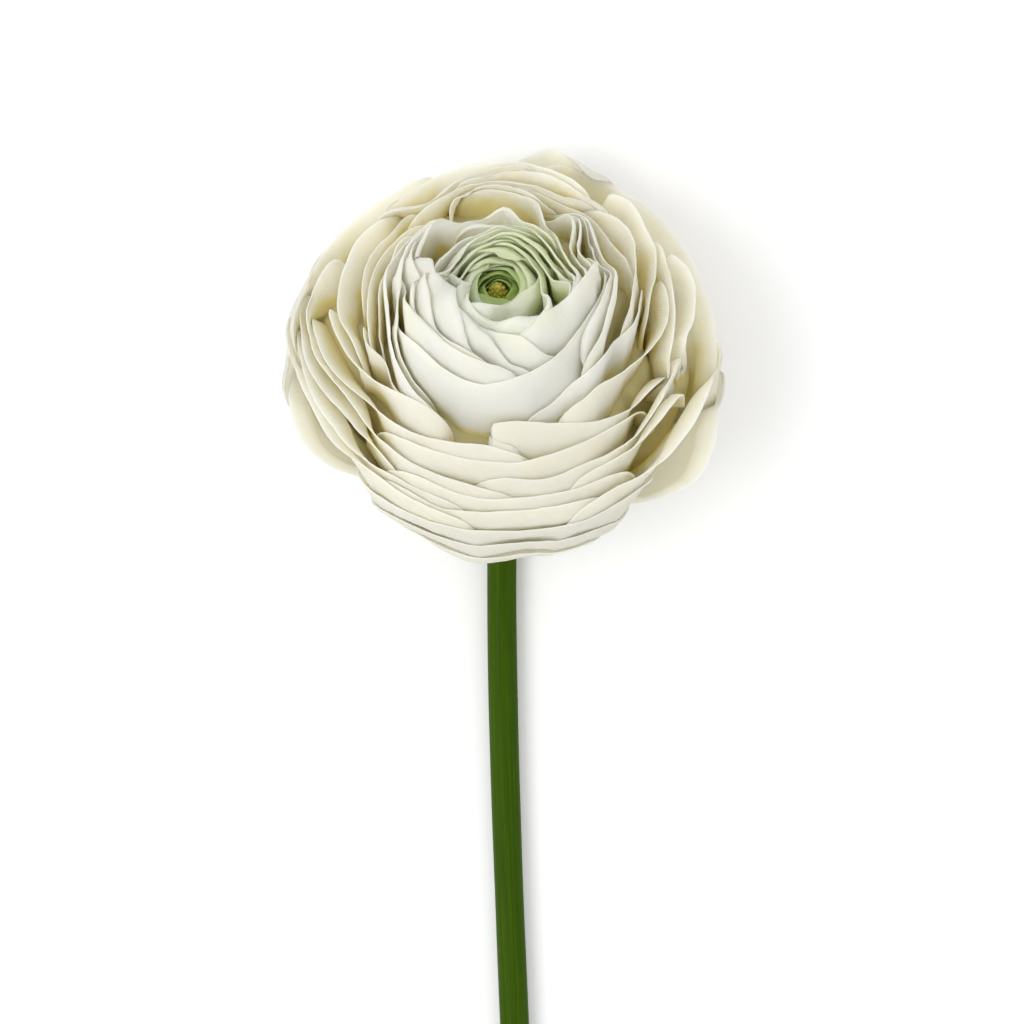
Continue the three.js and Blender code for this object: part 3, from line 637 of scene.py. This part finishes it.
def blade_mesh(points, half):
    """A closed blade round a grid of points, with half its thickness at each: its vertices and quads,
    and the number of the point that each vertex comes from."""
    rows, columns = points.shape[:2]
    normal = grid_normals(points)
    front = (points + normal * half[..., None]).reshape(-1, 3)
    back = (points - normal * half[..., None]).reshape(-1, 3)
    number = np.arange(rows * columns).reshape(rows, columns)
    border = np.zeros((rows, columns), bool)
    border[0], border[-1], border[:, 0], border[:, -1] = True, True, True, True
    behind = np.where(border, number, 0)
    behind[~border] = rows * columns + np.arange((~border).sum())
    vertices = np.concatenate([front, back[(~border).ravel()]])

    def quads(n, flip):
        a, b, c, d = n[:-1, :-1], n[:-1, 1:], n[1:, 1:], n[1:, :-1]
        order = (a, d, c, b) if flip else (a, b, c, d)
        return np.stack([x.ravel() for x in order], -1)

    faces = np.concatenate([quads(number, False), quads(behind, True)])
    source = np.concatenate([np.arange(rows * columns), np.arange(rows * columns)[(~border).ravel()]])
    return vertices, faces.tolist(), source


def turned(profile, sides):
    """Vertices and faces of a closed turned shape from (radius, height) pairs, lowest first."""
    profile = np.array(profile, float)
    angle = np.linspace(0, 2 * math.pi, sides, endpoint=False)
    ring = np.stack([np.cos(angle), np.sin(angle)], -1)
    across = (profile[:, 0, None, None] * ring).reshape(-1, 2)
    vertices = np.column_stack([across, np.repeat(profile[:, 1], sides)])
    return vertices, ring_faces(len(profile), sides)


def linked(name, data):
    """A new object in the scene."""
    item = bpy.data.objects.new(name, data)
    bpy.context.scene.collection.objects.link(item)
    return item


def make_object(name, vertices, faces, values, place, material):
    """A smooth mesh object from arrays in mm, with values per vertex and place as its UV map."""
    mesh = bpy.data.meshes.new(name)
    mesh.from_pydata((vertices * MM).tolist(), [], faces)
    mesh.polygons.foreach_set("use_smooth", np.ones(len(mesh.polygons), bool))
    for key, numbers in values.items():
        layer = mesh.attributes.new(key, "FLOAT", "POINT")
        layer.data.foreach_set("value", np.asarray(numbers, np.float32))
    corners = np.zeros(len(mesh.loops), np.int32)
    mesh.loops.foreach_get("vertex_index", corners)
    layer = mesh.uv_layers.new(name="place")
    layer.data.foreach_set("uv", np.asarray(place, np.float32)[corners].ravel())
    mesh.update()
    mesh.materials.append(material)
    return linked(name, mesh)


def joined(parts):
    """Several (vertices, faces, values per vertex) as one."""
    faces = []
    offset = 0
    for vertices, part_faces, _ in parts:
        faces += [[corner + offset for corner in face] for face in part_faces]
        offset += len(vertices)
    values = {key: np.concatenate([part[2][key] for part in parts]) for key in parts[0][2]}
    return np.concatenate([part[0] for part in parts]), faces, values


# Over which share of a blade's length its rim is rounded off, and of its half width or its length the
# other edges
RIM_ROUNDING = 0.016
EDGE_ROUNDING = 0.02


def rounded_half(u, v, thickness):
    """Half a blade's thickness, rounded off at its rim, its sides and its foot."""
    edge = np.minimum.reduce([(1 - v) / RIM_ROUNDING, (1 - np.abs(u)) / EDGE_ROUNDING, v / EDGE_ROUNDING])
    return thickness / 2 * np.sqrt(np.clip(1 - (1 - np.clip(edge, 0, 1)) ** 2, 0, 1))


# The middles of the pale green of the dish, and of the deep green of the pit round the pistil
EYE_PLACE = np.array([3.0, 4.5, 19.0])
PIT_PLACE = np.array([0.0, 0.0, 15.5])


def swell_of(petal, points, length, v):
    """How far a petal's places stand out from its even surface: pleats, folds and a soft pillow."""
    phases = petal["phases"]
    size = np.clip(np.linalg.norm(points[-1], axis=-1).mean() / 30, 0.3, 1)
    width = length[None, :] - length.mean()
    pleats = PLEATS[0] * waves(width, phases[6:9], PLEATS[1])
    pleats = pleats + FOLDS[0] * waves(width * 0.3 + v * 16, phases[9:12], FOLDS[1])
    pillow = SWELL[petal["group"]] * smoothstep(v, 0.55, 0.84) * (1 - smoothstep(v, 0.86, 1.0))
    return (pleats * smoothstep(v, 0.4, 0.7) + pillow) * size


# The share of its length from which a petal gives way to those inside it, in the eye and elsewhere, the
# share over which it comes to do so, and the share of the gap that it keeps low down
HEART_LAID_FROM, LAID_FROM = 0.4, 0.05
LAID_OVER = 0.2
LOW_GAP = 0.1


def placed_petals(u, v):
    """Every petal's points, each laid on the petals inside it, and the stack they make."""
    stack = Stack()
    placed = []
    for petal in all_petals():
        points, length = petal_surface(petal, u, v)
        swell = swell_of(petal, points, length, v)
        rel = points - stack.LOW
        points = stack.LOW + rel * (1 + swell / np.linalg.norm(rel, axis=-1))[..., None]
        low = HEART_LAID_FROM if petal["group"] == "heart" else LAID_FROM
        weight = smoothstep(v, low, low + LAID_OVER)
        gap = STACK_GAP * lerp(LOW_GAP, 1, smoothstep(v, 0.5, 0.9))
        points = stack.laid_on(points, weight, gap, petal["fit"])
        stack.add(refined(points, 4))
        placed.append((petal, points, length))
    return placed, stack


# Even columns and rows of a petal's mesh, and places of the extra ones close to its sides and its rim
COLUMNS, ROWS = 41, 26
SIDE_STEPS = (0.003, 0.008)
RIM_STEPS = (0.002, 0.006, 0.013)


def petal_parts():
    """Every petal as a mesh part, by group."""
    across = edged(COLUMNS, (0, 1), SIDE_STEPS) * 2 - 1
    along = edged(ROWS, (1,), RIM_STEPS)
    u, v = np.meshgrid(across, along)
    placed, stack = placed_petals(u, v)
    parts = {group: [] for group in FEET}
    for petal, points, length in placed:
        half = rounded_half(u, v, THICKNESS) * lerp(*THINNING, v)
        vertices, faces, source = blade_mesh(to_world(points), half)
        place = np.stack([length[None, :] * lerp(0.5, 1, v) + petal["place"], v * 50], -1)
        values = {
            "eye": np.linalg.norm(points - EYE_PLACE, axis=-1).ravel()[source],
            "pit": np.linalg.norm(points - PIT_PLACE, axis=-1).ravel()[source],
            "depth": stack.depth(points).ravel()[source],
            "along": v.ravel()[source],
            "place": place.reshape(-1, 2)[source],
        }
        parts[petal["group"]].append((vertices, faces, values))
    points, faces = stack.core()
    whole = np.ones(len(points))
    # The core takes the painted warm shade of a gap CORE_SHADE deep
    values = {"eye": 99 * whole, "pit": 99 * whole, "depth": CORE_SHADE * whole}
    values |= {"along": 0.5 * whole, "place": points[:, :2]}
    parts["outer"].append((to_world(points), faces, values))
    return parts


class Nodes:
    """Builds a material's node tree."""

    def __init__(self, name):
        self.material = bpy.data.materials.new(name)
        self.material.use_nodes = True
        self.tree = self.material.node_tree
        self.shader = self.tree.nodes["Principled BSDF"]

    def add(self, kind, inputs=None, **settings):
        node = self.tree.nodes.new(kind)
        for key, value in settings.items():
            setattr(node, key, value)
        self.fill(node, inputs or {})
        return node

    def fill(self, node, inputs):
        for key, value in inputs.items():
            self.put(node.inputs[key], value)

    def put(self, socket, value):
        if isinstance(value, bpy.types.NodeSocket):
            self.tree.links.new(value, socket)
        elif socket.type == "RGBA":
            socket.default_value = (*value, 1)
        else:
            socket.default_value = value

    def attribute(self, name):
        return self.add("ShaderNodeAttribute", attribute_name=name).outputs["Fac"]

    def ramp(self, factor, stops):
        node = self.add("ShaderNodeValToRGB", {"Fac": factor})
        elements = node.color_ramp.elements
        while len(elements) < len(stops):
            elements.new(0.5)
        for element, (place, colour) in zip(elements, stops):
            element.position = place
            element.color = (*colour, 1)
        return node.outputs["Color"]

    def spread(self, value, from_low, from_high, to_low=0.0, to_high=1.0):
        ends = {"From Min": from_low, "From Max": from_high, "To Min": to_low, "To Max": to_high}
        node = self.add("ShaderNodeMapRange", {"Value": value, **ends}, interpolation_type="SMOOTHSTEP")
        return node.outputs["Result"]

    def mix(self, factor, a, b):
        inputs = {"Factor": factor, "A": a, "B": b}
        return self.add("ShaderNodeMix", inputs, data_type="RGBA").outputs["Result"]

    def noise(self, across, along, detail=3.0, roughness=0.5):
        """Noise over the UV map in mm, so fine in grains per mm across the piece and along it."""
        uv = self.add("ShaderNodeUVMap", uv_map="place").outputs["UV"]
        scaled = self.add("ShaderNodeMapping", {"Vector": uv, "Scale": (across, along, 1)})
        inputs = {"Vector": scaled.outputs["Vector"], "Scale": 1.0}
        inputs |= {"Detail": detail, "Roughness": roughness}
        return self.add("ShaderNodeTexNoise", inputs).outputs["Fac"]

    def bump(self, height, strength, distance, normal=None):
        """Relief so many mm deep, over another normal if one is given."""
        inputs = {"Height": height, "Strength": strength, "Distance": distance * MM}
        node = self.add("ShaderNodeBump", inputs)
        if normal:
            self.put(node.inputs["Normal"], normal)
        return node.outputs["Normal"]

    def see_through(self, share, colour):
        """Lets a share of the light through the surface, with a colour."""
        through = self.add("ShaderNodeBsdfTranslucent", {"Color": colour})
        inputs = {0: share, 1: self.shader.outputs[0], 2: through.outputs[0]}
        mixed = self.add("ShaderNodeMixShader", inputs)
        self.put(self.tree.nodes["Material Output"].inputs["Surface"], mixed.outputs[0])


PALE_GREEN = (0.89, 0.94, 0.66)
DEEP_GREEN = (0.46, 0.64, 0.07)


def petal_material(name, surface, painted_shade, deep, rim, green):
    """Petal tissue with fine lengthwise veins, painted with warm shade deep in the gaps and a painted
    highlight at the rim.
    """
    n = Nodes(name)
    cloud = n.noise(0.12, 0.06, 2.0)
    warm = tuple(lerp(a, b, 0.3) for a, b in zip(surface, painted_shade))
    colour = n.mix(n.spread(cloud, 0.40, 0.75, 0.0, 0.4), surface, warm)
    veins = n.noise(1.5, 0.035, 4.0, 0.6)
    colour = n.mix(n.spread(veins, 0.3, 0.7, 0.12, 0.0), colour, warm)
    # A painted highlight along the rim
    colour = n.mix(n.spread(n.attribute("along"), 0.975, 0.995, 0.0, 0.8), colour, rim)
    # Painted warm shade in the gaps, fuller the further below the outermost petals
    colour = n.mix(n.spread(n.attribute("depth"), 0.5, deep, 0.0, 0.9), colour, painted_shade)
    colour = n.mix(n.spread(n.attribute("eye"), 3.0, 14.0, green, 0.0), colour, PALE_GREEN)
    colour = n.mix(n.spread(n.attribute("pit"), 3.0, 5.5, green, 0.0), colour, DEEP_GREEN)
    crumple = n.noise(0.35, 0.12)
    looks = {
        "Base Color": colour,
        "Normal": n.bump(veins, 0.5, 0.22, n.bump(crumple, 0.5, 0.6)),
        "Roughness": 0.6,
        "Specular IOR Level": 0.2,
        "Subsurface Weight": 0.5,
        "Subsurface Radius": (1.0, 0.95, 0.8),
        "Subsurface Scale": 0.4 * MM,
    }
    n.fill(n.shader, looks)
    n.see_through(0.48, colour)
    return n.material


def green_material(name, dark, mid, light, share_through):
    """Green tissue with fine streaks along it and faint blotches."""
    n = Nodes(name)
    streaks = n.noise(2.2, 0.03, roughness=0.55)
    blotches = n.noise(0.25, 0.06)
    colour = n.ramp(streaks, [(0.3, dark), (0.6, mid), (0.8, light)])
    colour = n.mix(n.spread(blotches, 0.4, 0.7, 0.0, 0.35), colour, dark)
    looks = {
        "Base Color": colour,
        "Normal": n.bump(streaks, 0.4, 0.2),
        "Roughness": 0.5,
        "Specular IOR Level": 0.06,
        "Subsurface Weight": share_through,
        "Subsurface Radius": (0.4, 1.0, 0.2),
        "Subsurface Scale": 0.8 * MM,
    }
    n.fill(n.shader, looks)
    return n.material


def pistil_material():
    """Ochre, darker and greener where a fine grain is low, the same grain that gives its relief."""
    n = Nodes("pistil_ochre")
    grain = n.noise(1.2, 1.2, roughness=0.6)
    stops = [(0.3, (0.24, 0.24, 0.03)), (0.55, (0.46, 0.42, 0.05)), (0.8, (0.66, 0.56, 0.12))]
    looks = {
        "Base Color": n.ramp(grain, stops),
        "Normal": n.bump(grain, 0.4, 0.3),
        "Roughness": 0.5,
        "Subsurface Weight": 0.2,
        "Subsurface Scale": 0.6 * MM,
    }
    n.fill(n.shader, looks)
    return n.material


# The stem's line: how far down the bloom's axis it starts, how far its first handle reaches, where it
# comes to lie on the floor, and its cut end
NECK_START = 25.2
NECK_HANDLE = 6.5
SETTLED = np.array([0, 2.0, STEM_RADIUS])
CUT_END = np.array([6.5, -171.9, STEM_RADIUS])
# The curve's handles: before and after the place where it comes to lie, and before the cut end
SETTLING, SETTLED_RUN = (0, 12, 0), (0, 45, 0)
END_RUN = (-2.4, 60, 0)
STEM_SIDES = 48
STEM_STEPS = 150
# Its ribs, and how deep they are and how far it swells, as shares of its radius
STEM_RIBS = 9
RIB_DEPTH = 0.010
STEM_SWELL = 0.02
# The cut end, as shares of the stem's radius and how far past its end: a rounded skin edge, then the
# hole in the pith
CUT_RINGS = ((0.97, 0.06), (0.9, 0.1), (0.6, 0.05), (0.42, 0.0), (0.38, -0.4), (0.36, -6.0), (0.02, -6.2))
# How high above the floor its lowest vertices are
CLEARANCE = 0.02


def stem_line(count):
    """Points and tangents of the stem's centre line, from the calyx to the cut end."""
    down = np.array([0, -math.sin(TILT), -math.cos(TILT)])
    neck = CENTRE + down * NECK_START
    bend = (neck, neck + down * NECK_HANDLE, SETTLED + SETTLING, SETTLED)
    run = (SETTLED, SETTLED - SETTLED_RUN, CUT_END + END_RUN, CUT_END)
    points = []
    for corners, steps in ((bend, count // 4), (run, count - count // 4)):
        t = np.linspace(0, 1, steps, endpoint=corners is run)[:, None]
        points.append(cubic(t, *corners))
    points = np.concatenate(points)
    tangents = np.gradient(points, axis=0)
    return points, tangents / np.linalg.norm(tangents, axis=-1, keepdims=True)


def stem_rings(line, ahead, length, angle):
    """Rings of vertices round the stem's line, from a tiny one at the calyx to the pith in the cut end."""
    right = np.array([1.0, 0, 0]) - ahead * ahead[:, :1]
    right /= np.linalg.norm(right, axis=-1, keepdims=True)
    up = np.cross(right, ahead)
    ribs = 1 - RIB_DEPTH * (1 + np.cos(STEM_RIBS * angle[None, :] + 0.01 * length[:, None]))
    swell = 1 + STEM_SWELL * waves(length, (0.4, 2.1, 4.4), (0.05, 0.11, 0.23))[:, None] - STEM_SWELL
    radius = STEM_RADIUS * ribs * swell
    circle = right[:, None] * np.cos(angle)[:, None] + up[:, None] * np.sin(angle)[:, None]
    rings = line[:, None] + radius[..., None] * circle
    rim = circle[-1] * radius[-1][:, None]
    cut = [line[-1] + rim * share + ahead[-1] * past for share, past in CUT_RINGS]
    first = line[0] + (rings[0] - line[0]) * 0.02
    return np.concatenate([first[None], rings, np.array(cut)])


def make_stem():
    line, ahead = stem_line(STEM_STEPS)
    angle = np.linspace(0, 2 * math.pi, STEM_SIDES, endpoint=False)
    length = running(np.linalg.norm(np.diff(line, axis=0), axis=-1))
    rings = stem_rings(line, ahead, length, angle)
    vertices = rings.reshape(-1, 3)
    vertices[:, 2] = np.maximum(vertices[:, 2], CLEARANCE)
    # These rings run round the other way, so each face is turned over
    faces = [[first, *others[::-1]] for first, *others in ring_faces(len(rings), STEM_SIDES)]
    stretch = np.concatenate([[0], length, length[-1] + np.arange(1, len(CUT_RINGS) + 1)])
    place = np.stack([np.tile(angle * STEM_RADIUS, len(rings)), np.repeat(stretch, STEM_SIDES)], -1)
    greens = (0.024, 0.060, 0.0), (0.038, 0.083, 0.0), (0.070, 0.12, 0.002)
    material = green_material("stem_green", *greens, 0.1)
    return make_object("stem_skin", vertices, faces, {}, place, material)


SEPALS = 5
SEPAL_LENGTH, SEPAL_HALF_WIDTH, SEPAL_THICKNESS = 10.5, 4.1, 0.6
# Where a sepal starts: out from the axis, and down from the top of the calyx
SEPAL_ROOT = (2.6, -1.1)


def sepal_part(azimuth, phases):
    """One sepal, bent back from the petals."""
    u, v = np.meshgrid(edged(17, (0, 1), (0.01,)) * 2 - 1, edged(17, (1,), (0.01,)))
    reach = SEPAL_ROOT[0] + SEPAL_LENGTH * v * (1 - 0.14 * u * u)
    across = u * SEPAL_HALF_WIDTH * np.sin(math.pi * (0.22 + 0.68 * v)) ** 0.8
    sag = 0.9 + 3.6 * v * v - 0.8 * u * u + 0.25 * waves(4 * v + 2 * u, phases, (1.0, 2.3, 3.9))
    c, s = math.cos(azimuth), math.sin(azimuth)
    height = CALYX_TOP + SEPAL_ROOT[1] - sag * v
    points = np.stack([reach * c - across * s, reach * s + across * c, height], -1)
    vertices, faces, source = blade_mesh(to_world(points), rounded_half(u, v, SEPAL_THICKNESS) + 0.02)
    place = np.stack([across + 30 * azimuth, reach], -1).reshape(-1, 2)[source]
    return vertices, faces, {"place": place}


# Radius and height of the receptacle's outline, measured from the top of the calyx
RECEPTACLE = (
    (0.1, -2.9), (2.4, -2.9), (2.9, -2.75), (3.5, -2.2), (3.95, -1.7),
    (4.4, -1.1), (4.6, -0.7), (4.45, -0.25), (4.1, -0.02), (0.1, 0),
)


def make_calyx():
    parts = [sepal_part((360 / SEPALS * i - 18) * DEGREE, scatter.uniform(0, 6, 3)) for i in range(SEPALS)]
    vertices, faces = turned(RECEPTACLE, 40)
    place = vertices[:, :2] * 2
    parts.append((to_world(vertices + (0, 0, CALYX_TOP)), faces, {"place": place}))
    vertices, faces, values = joined(parts)
    greens = (0.20, 0.30, 0.05), (0.36, 0.46, 0.12), (0.50, 0.56, 0.22)
    material = green_material("calyx_green", *greens, 0.3)
    return make_object("calyx_sepals", vertices, faces, {}, values["place"], material)


# Radius and height of the outlines of the pistil's cone, in the bloom's frame, and of one carpel
CONE = ((0.1, 12.4), (1.6, 12.5), (1.7, 13.6), (1.4, 15.0), (0.85, 16.1), (0.4, 16.6), (0.05, 16.7))
CARPEL = ((0.03, -0.4), (0.24, -0.33), (0.37, -0.08), (0.34, 0.16), (0.18, 0.4), (0.03, 0.56))
CARPELS = 42
CARPEL_HEIGHTS = (13.2, 16.5)


def make_pistil():
    """A short cone of carpels packed in a spiral."""
    vertices, faces = turned(CONE, 24)
    parts = [(vertices, faces, {"place": vertices[:, [0, 2]]})]
    cone = np.array(CONE[1:-1])
    for i in range(CARPELS):
        share = (i + 0.5) / CARPELS
        height = lerp(*CARPEL_HEIGHTS, share)
        radius = np.interp(height, cone[:, 1], cone[:, 0])
        turn = i * GOLDEN_ANGLE
        out = Vector((math.cos(turn) * (1.2 - share), math.sin(turn) * (1.2 - share), 0.4 + share))
        spin = np.array(out.to_track_quat("Z", "Y").to_matrix())
        bead, bead_faces = turned(CARPEL, 8)
        bead = bead @ spin.T + (radius * math.cos(turn), radius * math.sin(turn), height)
        parts.append((bead, bead_faces, {"place": bead[:, [0, 2]] + i}))
    vertices, faces, values = joined(parts)
    return make_object("pistil_carpels", to_world(vertices), faces, {}, values["place"], pistil_material())


# Half the floor's width in metres
FLOOR_HALF = 3.0


def make_floor():
    mesh = bpy.data.meshes.new("floor")
    corners = [(x * FLOOR_HALF, y * FLOOR_HALF, 0) for x, y in ((-1, -1), (1, -1), (1, 1), (-1, 1))]
    mesh.from_pydata(corners, [], [(0, 1, 2, 3)])
    n = Nodes("floor_white")
    n.fill(n.shader, {"Base Color": (0.95, 0.95, 0.95), "Roughness": 0.9})
    mesh.materials.append(n.material)
    linked("floor", mesh)


# The key light: where it is and what it points at, in metres, the width of its disk, and its power in W
KEY_PLACE = (-0.55, -0.12, 0.85)
KEY_TARGET = (0, 0.04, 0.03)
KEY_SIZE = 0.6
KEY_POWER = 3.4


def make_key_light():
    data = bpy.data.lights.new("key", "AREA")
    data.shape = "DISK"
    data.size = KEY_SIZE
    data.energy = KEY_POWER
    light = linked("key", data)
    light.location = KEY_PLACE
    light.rotation_euler = (Vector(KEY_TARGET) - Vector(KEY_PLACE)).to_track_quat("-Z", "Y").to_euler()


def make_studio():
    """A white surrounding light, and one soft key light from the left."""
    world = bpy.data.worlds.new("studio")
    bpy.context.scene.world = world
    world.use_nodes = True
    background = world.node_tree.nodes["Background"]
    background.inputs["Color"].default_value = (1, 1, 1, 1)
    background.inputs["Strength"].default_value = 1.0
    make_key_light()
    bpy.context.scene.view_settings.view_transform = "Standard"


# The camera looks straight down from this far above the bloom's centre. Its focal length makes the bloom
# as wide as in the photograph.
CAMERA_X, CAMERA_Y = 1.85, 15.0
CAMERA_ABOVE = 500
FOCAL_LENGTH = 100.8
SENSOR_WIDTH = 36


def make_camera():
    data = bpy.data.cameras.new("camera")
    data.lens = FOCAL_LENGTH
    data.sensor_width = SENSOR_WIDTH
    data.clip_start = 0.01
    camera = linked("camera", data)
    camera.location = (CAMERA_X * MM, CAMERA_Y * MM, (CENTRE[2] + CAMERA_ABOVE) * MM)
    bpy.context.scene.camera = camera


def settle(piece, node):
    """Puts a piece in the place of the CAD node of that name."""
    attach(piece, "root")
    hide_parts(node)


# Surface, painted warm shade in the gaps, how deep down they take it fully, painted highlight at the
# rim, strength of the green near the eye
PETAL_LOOKS = {
    "heart": ((0.97, 0.98, 0.90), (0.80, 0.88, 0.50), 6.0, (0.96, 0.98, 0.90), 0.75),
    "inner": ((0.97, 0.97, 0.92), (0.94, 0.85, 0.40), 6.0, (0.98, 0.98, 0.95), 0.7),
    "outer": ((0.965, 0.95, 0.86), (0.95, 0.86, 0.46), 6.0, (0.98, 0.98, 0.94), 0.0),
    "guard": ((0.95, 0.94, 0.86), (0.94, 0.90, 0.70), 9.0, (0.96, 0.96, 0.92), 0.0),
}

for group, parts in petal_parts().items():
    vertices, faces, values = joined(parts)
    place = values.pop("place")
    material = petal_material(f"petal_{group}", *PETAL_LOOKS[group])
    settle(make_object(f"{group}_blades", vertices, faces, values, place, material), f"{group}_petals")
settle(make_pistil(), "pistil")
settle(make_calyx(), "calyx")
settle(make_stem(), "stem")

make_floor()
make_studio()
make_camera()
